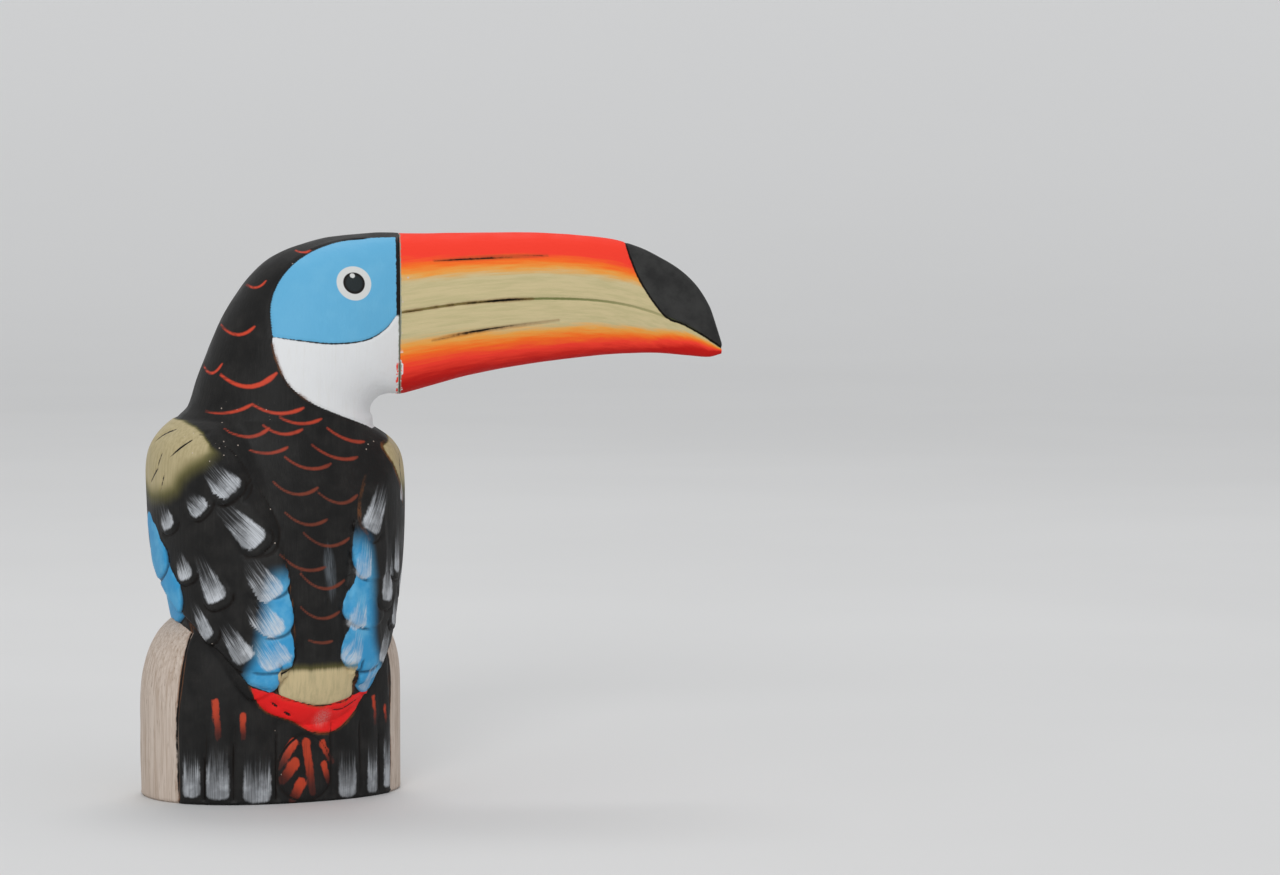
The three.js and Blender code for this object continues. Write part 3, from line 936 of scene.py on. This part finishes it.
def make_beak():
    grid, reach, top, bottom = beak_grid()
    vertices = grid.reshape(-1, 3)
    z = vertices[:, 2]
    run = reach.ravel()
    mouth = along(MOUTH, run)[:, 0]
    above = (z - mouth) / np.maximum(top.ravel() - mouth, 1.0)
    below = (z - mouth) / np.maximum(mouth - bottom.ravel(), 1.0)
    fields = {"run": run, "rise": z - mouth, "side": vertices @ head_side}
    fields["band"] = np.where(z > mouth, above, below)
    tip_edge = TIP_EDGE + [(place, along(MOUTH, place)[0]) for place in TIP_MOUTH]
    tip = np.concatenate([smooth_line(tip_edge), TIP_BEYOND])
    fields["tip"] = np.clip(inside_distance(run, z, tip), -FAR, FAR)
    fields["mouth"] = np.clip(-np.abs(z - mouth), -FAR, 0)
    dashes = []
    for start, end, half_width in MOUTH_DASHES:
        places = np.linspace(start, end, 5)
        dashes.append((list(zip(places, along(MOUTH, places)[:, 0])), half_width))
    fields["line"] = flat_strokes(run, z, BEAK_LINES)
    fields["dash"] = flat_strokes(run, z, dashes)
    relief = unevenness(vertices, BEAK_WAVES)
    relief -= BEAK_GROOVE * smoothstep(fields["mouth"], -0.8, -0.1)
    relief -= BEAK_GROOVE * smoothstep(np.maximum(fields["line"], fields["dash"]), -0.5, 0.3)
    relief -= 0.6 * BEAK_GROOVE * smoothstep(-np.abs(fields["tip"]), -0.8, -0.1)
    relief *= smoothstep(run, 0.0, 1.5)
    carved = carve(grid, relief)
    return mesh_object("toucan_beak", carved, fields, carved[0].mean(axis=0), carved[-1].mean(axis=0))


# Materials

class Shader:
    """A material's nodes, made by small calls that return sockets; painters share its noises and colour."""

    def __init__(self, name):
        self.material = bpy.data.materials.new(name)
        self.material.use_nodes = True
        self.tree = self.material.node_tree
        self.surface = self.tree.nodes["Principled BSDF"]
        self.place = self.node("TexCoord").outputs["Object"]

    def put(self, socket, value):
        if isinstance(value, bpy.types.NodeSocket):
            self.tree.links.new(value, socket)
        else:
            socket.default_value = value

    def node(self, kind, **inputs):
        """A new node with its named inputs set or linked."""
        node = self.tree.nodes.new("ShaderNode" + kind)
        for name, value in inputs.items():
            self.put(node.inputs[name.replace("_", " ")], value)
        return node

    def field(self, name):
        node = self.node("Attribute")
        node.attribute_name = name
        return node.outputs["Fac"]

    def math(self, operation, a, b=0.0):
        node = self.node("Math")
        node.operation = operation
        self.put(node.inputs[0], a)
        self.put(node.inputs[1], b)
        return node.outputs[0]

    def times(self, a, b):
        return self.math("MULTIPLY", a, b)

    def plus(self, a, b):
        return self.math("ADD", a, b)

    def step(self, value, low, high, to_low=0.0, to_high=1.0):
        """Smooth rise from to_low to to_high as value goes from low to high."""
        node = self.node("MapRange", Value=value, From_Min=low, From_Max=high, To_Min=to_low, To_Max=to_high)
        node.interpolation_type = "SMOOTHSTEP"
        return node.outputs["Result"]

    def mix(self, share, a, b):
        node = self.node("Mix")
        node.data_type = "RGBA"
        self.put(node.inputs[0], share)
        self.put(node.inputs[6], a)
        self.put(node.inputs[7], b)
        return node.outputs[2]

    def stretched(self, scale):
        return self.node("Mapping", Vector=self.place, Scale=scale).outputs["Vector"]

    def parts(self, vector):
        return self.node("SeparateXYZ", Vector=vector).outputs

    def joined(self, x, y, z):
        return self.node("CombineXYZ", X=x, Y=y, Z=z).outputs["Vector"]

    def noise(self, vector, scale, detail=3.0, roughness=0.55):
        node = self.node("TexNoise", Vector=vector, Scale=scale, Detail=detail, Roughness=roughness)
        return node.outputs["Fac"]

    def grainy(self, scale, detail=3.0, roughness=0.55):
        """Noise in the object's own space, finer along an axis with a larger scale."""
        return self.noise(self.stretched(scale), 1.0, detail, roughness)

    def roughen(self, scale):
        """Sets the noise, about zero, by which hand-drawn edges waver."""
        self.ragged = self.math("SUBTRACT", self.grainy(scale), 0.5)

    def wavering(self, name, amount):
        """A field with the unsteadiness of a hand-drawn edge."""
        return self.plus(self.field(name), self.times(self.ragged, amount))

    def height(self):
        """Height over the floor in millimetres."""
        return self.times(self.parts(self.place)["Z"], 1 / MM)

    def area(self, name, low=-0.15, high=0.15, wander=0.6):
        """Share of a painted area with a slightly unsteady hand-painted edge."""
        return self.step(self.wavering(name, wander), low, high)

    def paint(self, share, colour):
        """Lays a coat over the colour so far."""
        self.colour = self.mix(share, self.colour, colour)

    def specks(self, scale, full, gone, density):
        """Share of small round specks, of which only the given density is kept."""
        dots = self.node("TexVoronoi", Vector=self.stretched((scale, scale, scale)), Scale=1.0)
        pick = self.node("SeparateColor", Color=dots.outputs["Color"])
        kept = self.math("LESS_THAN", pick.outputs[0], density)
        return self.times(self.step(dots.outputs["Distance"], gone, full), kept)

    def finish(self, roughness, specular, height, depth):
        """Sets the surface's colour, roughness and shine, and its fine relief."""
        relief = self.node("Bump", Height=height, Distance=depth)
        self.put(self.surface.inputs["Normal"], relief.outputs["Normal"])
        self.put(self.surface.inputs["Base Color"], self.colour)
        self.put(self.surface.inputs["Roughness"], roughness)
        self.surface.inputs["Specular IOR Level"].default_value = specular


BLACK = (0.0095, 0.0092, 0.0090, 1)
BLACK_WORN = (0.024, 0.0228, 0.0216, 1)
WHITE = (0.74, 0.75, 0.76, 1)
DAB_WHITE = (0.61, 0.64, 0.68, 1)
FACE_BLUE = (0.125, 0.425, 0.675, 1)
FACE_BLUE_PALE = (0.165, 0.475, 0.71, 1)
WING_BLUE = (0.040, 0.300, 0.58, 1)
WING_BLUE_PALE = (0.115, 0.41, 0.66, 1)
WING_BLUE_DEEP = (0.008, 0.040, 0.080, 1)
CREAM = (0.47, 0.395, 0.225, 1)
CREAM_DARK = (0.38, 0.315, 0.170, 1)
CREAM_OLIVE = (0.155, 0.140, 0.045, 1)
RUMP_CREAM = (0.59, 0.48, 0.275, 1)
SCALLOP_RED = (0.60, 0.060, 0.026, 1)
SCALLOP_BROWN = (0.17, 0.040, 0.022, 1)
MARK_RED = (0.50, 0.055, 0.022, 1)
CRESCENT_RED = (0.86, 0.016, 0.016, 1)
CRESCENT_DARK = (0.58, 0.012, 0.012, 1)
# Pale pink of the crescent's rubbed patch and painted highlight
WEAR_AND_HIGHLIGHT_PINK = (0.66, 0.40, 0.37, 1)
WOOD_LIGHT = (0.60, 0.51, 0.44, 1)
WOOD_DARK = (0.45, 0.355, 0.285, 1)
WOOD_PORE = (0.26, 0.185, 0.135, 1)
BURN_CORE = (0.009, 0.007, 0.006, 1)
SCORCH = (0.20, 0.072, 0.022, 1)
TOE_BLUE = (0.10, 0.19, 0.25, 1)
EYE_WHITE = (0.66, 0.67, 0.66, 1)
PUPIL = (0.020, 0.026, 0.028, 1)
SHEEN_GREY = (0.14, 0.16, 0.18, 1)
BEAK_RED = (0.93, 0.055, 0.032, 1)
# Deep red of the beak's lower edge, partly its paint and partly painted shade on the underside
BEAK_DEEP_RED_AND_SHADE = (0.54, 0.012, 0.010, 1)
BEAK_ORANGE = (0.92, 0.175, 0.020, 1)
BEAK_AMBER = (0.80, 0.36, 0.070, 1)
BEAK_TAN = (0.60, 0.505, 0.285, 1)
BEAK_OLIVE = (0.52, 0.455, 0.245, 1)
BEAK_BLACK = (0.026, 0.026, 0.026, 1)
BEAK_BLACK_WORN = (0.046, 0.046, 0.045, 1)
MOUTH_GREEN = (0.11, 0.14, 0.035, 1)
SEAM_FILLER = (0.30, 0.32, 0.25, 1)

# Half-dry brushes: field name, streaks per millimetre across, how soon the paint thins, strength
BRUSHES = [("pale", 1.6, 0.8, 0.85), ("dab", 2.5, 1.0, 0.93), ("flick", 2.6, 2.0, 0.75)]
# Bands of the beak: share of the way out from the mouth where each begins and is full, and its paint
UPPER_BANDS = [(0.34, 0.50, BEAK_AMBER), (0.44, 0.60, BEAK_ORANGE), (0.54, 0.72, BEAK_RED)]
# The last lower band is partly deeper red paint and partly painted shade on the beak's underside
LOWER_BANDS = [
    (0.36, 0.52, BEAK_AMBER), (0.47, 0.64, BEAK_ORANGE), (0.58, 0.78, BEAK_RED), (0.74, 0.98, BEAK_DEEP_RED_AND_SHADE),
]
BEAK_GRAIN = [("run", 0.030), ("side", 0.9), ("rise", 0.9)]
CHIP_SCALE = (330, 330, 330)
# Soft limits, in millimetres or values of the grain: nothing at the first and all at the second
CRISP = (-0.12, 0.12)
CREAM_STREAKS = (0.38, 0.72)
SCALLOP_BROWN_TO_RED_Z = (105, 150)
RUMP_FADE_Z = (51, 46.5)
EYE_RIM = (6.5, 6.2)
PUPIL_RIM = (4.15, 3.85)
PUPIL_SHADE = (3.6, 2.6)
GLINT_RIM = (1.1, 0.75)
SEAM_BLACK_Z = (170.3, 171.5)
SEAM_HEAD_Z = (140.5, 141.5)
SEAM_SPILL_Z = (155, 153)
SEAM_PEEL_Z = (159, 157)
# Shine, and depth of the fine relief in metres
BODY_SPECULAR = 0.16
BODY_BUMP = 0.00020
BEAK_SPECULAR = 0.05
BEAK_BUMP = 0.00018


def brushed(s, name, scale, thin):
    """Share of paint left by a half-dry brush: full at the stroke's end, in streaks before it."""
    run = s.field(name + "_run")
    along_brush = s.joined(s.times(run, 1.3), s.times(s.field(name + "_across"), scale), 0.0)
    streaks = s.noise(along_brush, 1.0, 3.0, 0.65)
    rim = s.times(s.step(s.field(name), 2.0, 0.6), s.step(run, 0.2, 0.6, 0.0, 0.22))
    loaded = s.plus(run, rim)
    full = s.math("POWER", s.step(loaded, -0.05, 0.9), thin)
    least = s.step(loaded, 0.2, 0.95, 0.48, 0.32)
    most = s.step(loaded, 0.2, 0.95, 0.66, 0.56)
    gaps = s.step(streaks, least, most, s.step(run, 0.3, 0.95, 0.06, 0.5), 1.0)
    uneven = s.step(s.mottle, 0.38, 0.62, 0.5, 1.0)
    paint = s.times(s.times(full, uneven), gaps)
    return s.times(paint, s.area(name, -0.2, 0.9, 1.3))


def paint_black(s):
    """Worn black all over, with a sheen down the back."""
    wear = s.times(s.step(s.mottle, 0.35, 0.75), s.step(s.grain, 0.35, 0.75, 0.5, 1.0))
    s.colour = s.mix(wear, BLACK, BLACK_WORN)
    sheen = s.times(s.step(s.field("sheen"), 0.0, 2.6), s.step(s.grain, 0.35, 0.65, 0.1, 0.8))
    s.paint(sheen, SHEEN_GREY)


def paint_shoulders(s):
    cream = s.mix(s.step(s.grain, *CREAM_STREAKS), CREAM, CREAM_DARK)
    edge = s.plus(s.field("cream"), s.times(s.math("SUBTRACT", s.grain, 0.5), 0.12))
    s.paint(s.step(edge, 0.05, 0.8), s.mix(s.step(edge, 0.4, 1.0), CREAM_OLIVE, cream))


def paint_wings(s):
    """Blue lobes and pale brush strokes; gives the share of thick paint."""
    blue = s.mix(s.step(s.mottle, 0.4, 0.7), WING_BLUE, WING_BLUE_PALE)
    blue = s.mix(s.step(s.wavering("lobe", 0.3), -0.8, 0.15, 0.0, 0.8), blue, WING_BLUE_DEEP)
    s.paint(s.times(s.area("blue"), s.field("blue_cover")), blue)
    strokes = {}
    for name, scale, thin, strength in BRUSHES:
        strokes[name] = brushed(s, name, scale, thin)
        s.paint(s.times(strokes[name], strength), DAB_WHITE)
    return s.plus(strokes["dab"], strokes["flick"])


def paint_reds(s):
    """Scallops, browner and darker towards the bottom, and the red marks on the tail."""
    # Scallops are a darker brown low down and redder higher up
    red = s.mix(s.step(s.height(), *SCALLOP_BROWN_TO_RED_Z), SCALLOP_BROWN, SCALLOP_RED)
    s.paint(s.times(s.area("red", -0.5, 0.22, 0.25), s.step(s.mottle, 0.28, 0.5, 0.65, 1.0)), red)
    mark = s.times(s.area("mark", -0.2, 0.6, 1.6), s.step(s.field("mark_run"), 0.0, 0.75, 0.1, 0.95))
    s.paint(s.times(mark, s.step(s.grain, 0.3, 0.5, 0.6, 1.0)), MARK_RED)


def paint_rump(s):
    """Cream rump with a streaky top, and the red crescent with its rubbed patch, which is also a painted
    highlight.
    """
    top = s.plus(s.height(), s.times(s.math("SUBTRACT", s.grain, 0.5), 2.0))
    cover = s.times(s.area("rump"), s.step(top, *RUMP_FADE_Z))
    cream = s.mix(s.step(s.grain, *CREAM_STREAKS), RUMP_CREAM, CREAM)
    s.paint(cover, s.mix(s.step(cover, 0.5, 1.0), CREAM_OLIVE, cream))
    crescent = s.mix(s.step(s.mottle, 0.45, 0.8, 0.0, 0.7), CRESCENT_RED, CRESCENT_DARK)
    # The pale patch on the crescent is rubbed paint and also a painted highlight
    rubbed_and_highlit = s.times(s.step(s.field("wear_and_highlight"), 0.0, 0.9), s.step(s.pores, 0.40, 0.62, 0.2, 0.9))
    s.paint(s.area("crescent", *CRISP), s.mix(s.times(rubbed_and_highlit, 0.55), crescent, WEAR_AND_HIGHLIGHT_PINK))


def paint_head(s):
    """White throat and bib, blue face, and the eye."""
    s.paint(s.area("white", *CRISP), s.mix(s.step(s.grain, 0.5, 0.85, 0.0, 0.12), WHITE, CREAM))
    face = s.mix(s.step(s.mottle, 0.4, 0.8, 0.0, 0.5), FACE_BLUE, FACE_BLUE_PALE)
    s.paint(s.area("face", *CRISP, 0.4), face)
    eye = s.field("eye")
    s.paint(s.step(eye, *EYE_RIM), EYE_WHITE)
    s.paint(s.step(eye, *PUPIL_RIM), s.mix(s.step(eye, *PUPIL_SHADE), BURN_CORE, PUPIL))
    s.paint(s.step(s.field("glint"), *GLINT_RIM), EYE_WHITE)


def paint_head_seam(s):
    """The head's side of the seam: spilt red and filler low down, black above."""
    seam = s.wavering("seam", 0.9)
    height = s.height()
    on_head = s.step(height, *SEAM_HEAD_Z)
    spill = s.times(s.step(seam, 1.3, 1.0, 0.0, on_head), s.step(height, *SEAM_SPILL_Z))
    s.paint(s.times(spill, s.step(s.grainy(CHIP_SCALE, 2.0), 0.48, 0.53)), BEAK_RED)
    s.paint(s.times(s.step(seam, 0.55, 0.3), s.step(s.mottle, 0.35, 0.5, 0.0, on_head)), SEAM_FILLER)
    s.paint(s.times(s.step(seam, 1.25, 0.95), s.step(height, *SEAM_BLACK_Z)), BURN_CORE)


def paint_stump(s):
    """Toes and bare wood; gives the share of bare wood."""
    s.paint(s.area("toe", -0.1, 0.2), TOE_BLUE)
    wood = s.mix(s.step(s.grain, 0.36, 0.68), WOOD_LIGHT, WOOD_DARK)
    wood = s.mix(s.step(s.pores, 0.60, 0.72, 0.0, 0.75), wood, WOOD_PORE)
    bare = s.times(s.area("wood", -0.12, 0.16), s.step(s.field("toe"), 0.2, -0.2))
    s.paint(bare, wood)
    return bare


def paint_burns(s):
    """Scorched and burnt lines, and pale specks."""
    scorch = s.step(s.wavering("scorch", 0.9), -0.85, 0.05)
    s.paint(s.times(scorch, s.step(s.mottle, 0.36, 0.64, 0.05, 0.75)), SCORCH)
    burn = s.wavering("burn", 0.45)
    s.paint(s.step(burn, -0.15, 0.15), BURN_CORE)
    density = s.plus(s.step(s.field("speck"), 0.0, 0.8, 0.0, 0.8), s.step(burn, -2.0, -0.4, 0.0, 0.03))
    s.paint(s.times(s.specks(480, 0.09, 0.15, density), 0.7), WOOD_LIGHT)


def body_material():
    s = Shader("painted_carving")
    s.grain = s.grainy((900, 900, 34), 5.0, 0.6)
    s.pores = s.grainy((2400, 2400, 130), 2.0, 0.5)
    s.mottle = s.grainy((130, 130, 130), 4.0)
    s.roughen((800, 800, 500))
    paint_black(s)
    paint_shoulders(s)
    thick_paint = paint_wings(s)
    paint_reds(s)
    paint_rump(s)
    paint_head(s)
    paint_head_seam(s)
    bare_wood = paint_stump(s)
    paint_burns(s)
    roughness = s.plus(s.step(s.mottle, 0.3, 0.7, 0.44, 0.60), s.times(bare_wood, 0.2))
    relief = s.plus(s.times(s.grain, 0.5), s.times(s.pores, 0.3))
    relief = s.plus(relief, s.times(thick_paint, 0.6))
    s.finish(roughness, BODY_SPECULAR, relief, BODY_BUMP)
    return s.material


def paint_bands(s, run):
    """Tan along the mouth, and bands of red above and below it; the lowest is deep red paint and painted
    shade under the beak.
    """
    band = s.plus(s.field("band"), s.times(s.math("SUBTRACT", s.grain, 0.5), 0.20))
    above = s.plus(band, s.step(run, 60.0, 90.0, 0.0, 0.05))
    near_ends = s.plus(s.step(run, 86.0, 112.0, 0.0, 0.30), s.step(run, 45.0, 0.0, 0.0, 0.08))
    below = s.math("SUBTRACT", near_ends, band)
    s.colour = s.mix(s.step(s.grain, 0.35, 0.70), BEAK_TAN, BEAK_OLIVE)
    for share, bands in ((above, UPPER_BANDS), (below, LOWER_BANDS)):
        for begins, full, paint in bands:
            s.paint(s.step(share, begins, full), paint)


def paint_tip_and_lines(s, run):
    """Black tip, olive mouth, and burnt lines."""
    tip = s.wavering("tip", 0.6)
    s.paint(s.step(tip, *CRISP), s.mix(s.step(s.mottle, 0.3, 0.7), BEAK_BLACK, BEAK_BLACK_WORN))
    mouth = s.step(s.wavering("mouth", 0.3), -0.60, -0.28)
    s.paint(s.times(mouth, s.step(run, 100.0, 55.0, 0.35, 0.85)), MOUTH_GREEN)
    line = s.math("MAXIMUM", s.field("line"), s.field("dash"))
    line = s.plus(line, s.times(s.ragged, 0.35))
    s.paint(s.step(line, -0.8, 0.05, 0.0, 0.5), SCORCH)
    s.paint(s.step(line, -0.12, 0.15), BURN_CORE)
    s.paint(s.step(s.math("ABSOLUTE", tip), 0.5, 0.2), BURN_CORE)


def paint_beak_seam(s, run):
    """The beak's side of the seam: peeled paint low down, filler, and pale specks."""
    peel = s.times(s.step(run, 1.2, 0.9), s.step(s.height(), *SEAM_PEEL_Z))
    s.paint(s.times(peel, s.step(s.grainy(CHIP_SCALE, 2.0), 0.56, 0.60)), WHITE)
    filler = s.times(s.step(s.wavering("run", 1.0), 0.55, 0.25), s.step(s.mottle, 0.3, 0.5))
    s.paint(filler, SEAM_FILLER)
    near_seam = s.step(run, 6.0, 0.5, 0.0, 0.16)
    s.paint(s.times(s.specks(420, 0.12, 0.20, near_seam), 0.8), WOOD_LIGHT)


def beak_material():
    s = Shader("painted_beak")
    run = s.field("run")
    lengthwise = s.joined(*(s.times(s.field(name), scale) for name, scale in BEAK_GRAIN))
    fine_grain = s.noise(lengthwise, 2.6, 3.0, 0.6)
    s.grain = s.noise(lengthwise, 1.0, 4.0, 0.6)
    s.mottle = s.grainy((140, 140, 140), 4.0)
    s.roughen((700, 700, 700))
    paint_bands(s, run)
    paint_tip_and_lines(s, run)
    paint_beak_seam(s, run)
    relief = s.plus(s.times(s.grain, 0.5), s.times(fine_grain, 0.5))
    s.finish(s.step(s.mottle, 0.3, 0.7, 0.46, 0.62), BEAK_SPECULAR, relief, BEAK_BUMP)
    return s.material


# Studio

CAMERA_PLACE = (-0.5974, -1.4787, 0.2241)
CAMERA_YAW = math.radians(-26.77)
CAMERA_PITCH = math.radians(-3.5)
CAMERA_LENS = 125.1
CAMERA_SENSOR = 36.0
FLOOR_COLOUR = (0.66, 0.66, 0.66, 1)
# Painted light: the far floor is paler to make up for the lamps' light falling off with distance
FLOOR_FAR_COLOUR = (0.97, 0.97, 0.97, 1)
FLOOR_FLAT_RADIUS = 3.0
FLOOR_RADIUS = 8.0
FLOOR_RIM_HEIGHT = 2.2
FLOOR_RINGS = 24
FLOOR_SPOKES = 72
FLOOR_ROUGHNESS = 0.8
SKY_COLOUR = (0.98, 0.99, 1.0, 1)
SKY_STRENGTH = 0.64
# Lights: name, place, size, power; all face the middle of the object
LIGHT_TARGET = (0.03, 0.0, 0.11)
LIGHTS = [("key", (-1.5, -2.3, 1.4), 1.1, 31.0), ("top", (0.5, 0.9, 2.2), 1.0, 13.0)]


def make_camera():
    data = bpy.data.cameras.new("camera")
    data.lens = CAMERA_LENS
    data.sensor_width = CAMERA_SENSOR
    camera = add_object("camera", data)
    camera.location = CAMERA_PLACE
    camera.rotation_euler = (math.pi / 2 + CAMERA_PITCH, 0.0, CAMERA_YAW)
    bpy.context.scene.camera = camera


def make_floor():
    """A round floor whose far rim rises softly, so that no horizon shows."""
    points = [(0.0, 0.0, 0.0)]
    for radius in np.linspace(FLOOR_FLAT_RADIUS, FLOOR_RADIUS, FLOOR_RINGS):
        rise = (radius - FLOOR_FLAT_RADIUS) / (FLOOR_RADIUS - FLOOR_FLAT_RADIUS)
        for spoke in range(FLOOR_SPOKES):
            turn = 2 * math.pi * spoke / FLOOR_SPOKES
            points.append((radius * math.cos(turn), radius * math.sin(turn), FLOOR_RIM_HEIGHT * rise ** 2))
    faces = []
    for spoke in range(FLOOR_SPOKES):
        beside = (spoke + 1) % FLOOR_SPOKES
        faces.append((0, 1 + spoke, 1 + beside))
        for ring in range(FLOOR_RINGS - 1):
            inner, outer = 1 + ring * FLOOR_SPOKES, 1 + (ring + 1) * FLOOR_SPOKES
            faces.append((inner + spoke, outer + spoke, outer + beside, inner + beside))
    mesh = bpy.data.meshes.new("floor")
    mesh.from_pydata(points, [], faces)
    mesh.shade_smooth()
    floor = add_object("floor", mesh)
    s = Shader("floor")
    soft = s.grainy((2, 2, 2))
    near = s.mix(s.step(soft, 0.3, 0.7, 0.0, 0.08), FLOOR_COLOUR, FLOOR_FAR_COLOUR)
    x, y, _ = s.parts(s.place)
    distance = s.math("SQRT", s.plus(s.times(x, x), s.times(y, y)))
    # Painted light: the floor grows paler with distance to make up for the lamps' light falling off
    s.put(s.surface.inputs["Base Color"], s.mix(s.step(distance, 1.0, 6.0), near, FLOOR_FAR_COLOUR))
    s.surface.inputs["Roughness"].default_value = FLOOR_ROUGHNESS
    mesh.materials.append(s.material)


def make_light(name, place, size, power):
    data = bpy.data.lights.new(name, "AREA")
    data.shape = "DISK"
    data.size = size
    data.energy = power
    light = add_object(name, data)
    light.location = place
    light.rotation_mode = "QUATERNION"
    light.rotation_quaternion = (Vector(LIGHT_TARGET) - Vector(place)).to_track_quat("-Z", "Y")


def make_studio():
    world = bpy.data.worlds.new("studio")
    world.use_nodes = True
    background = world.node_tree.nodes["Background"]
    background.inputs["Color"].default_value = SKY_COLOUR
    background.inputs["Strength"].default_value = SKY_STRENGTH
    bpy.context.scene.world = world
    bpy.context.scene.view_settings.view_transform = "Standard"
    for name, place, size, power in LIGHTS:
        make_light(name, place, size, power)


body = make_body()
body.data.materials.append(body_material())
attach(body, "root")
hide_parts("body")

beak = make_beak()
beak.data.materials.append(beak_material())
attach(beak, "root")
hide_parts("beak")

make_floor()
make_studio()
make_camera()
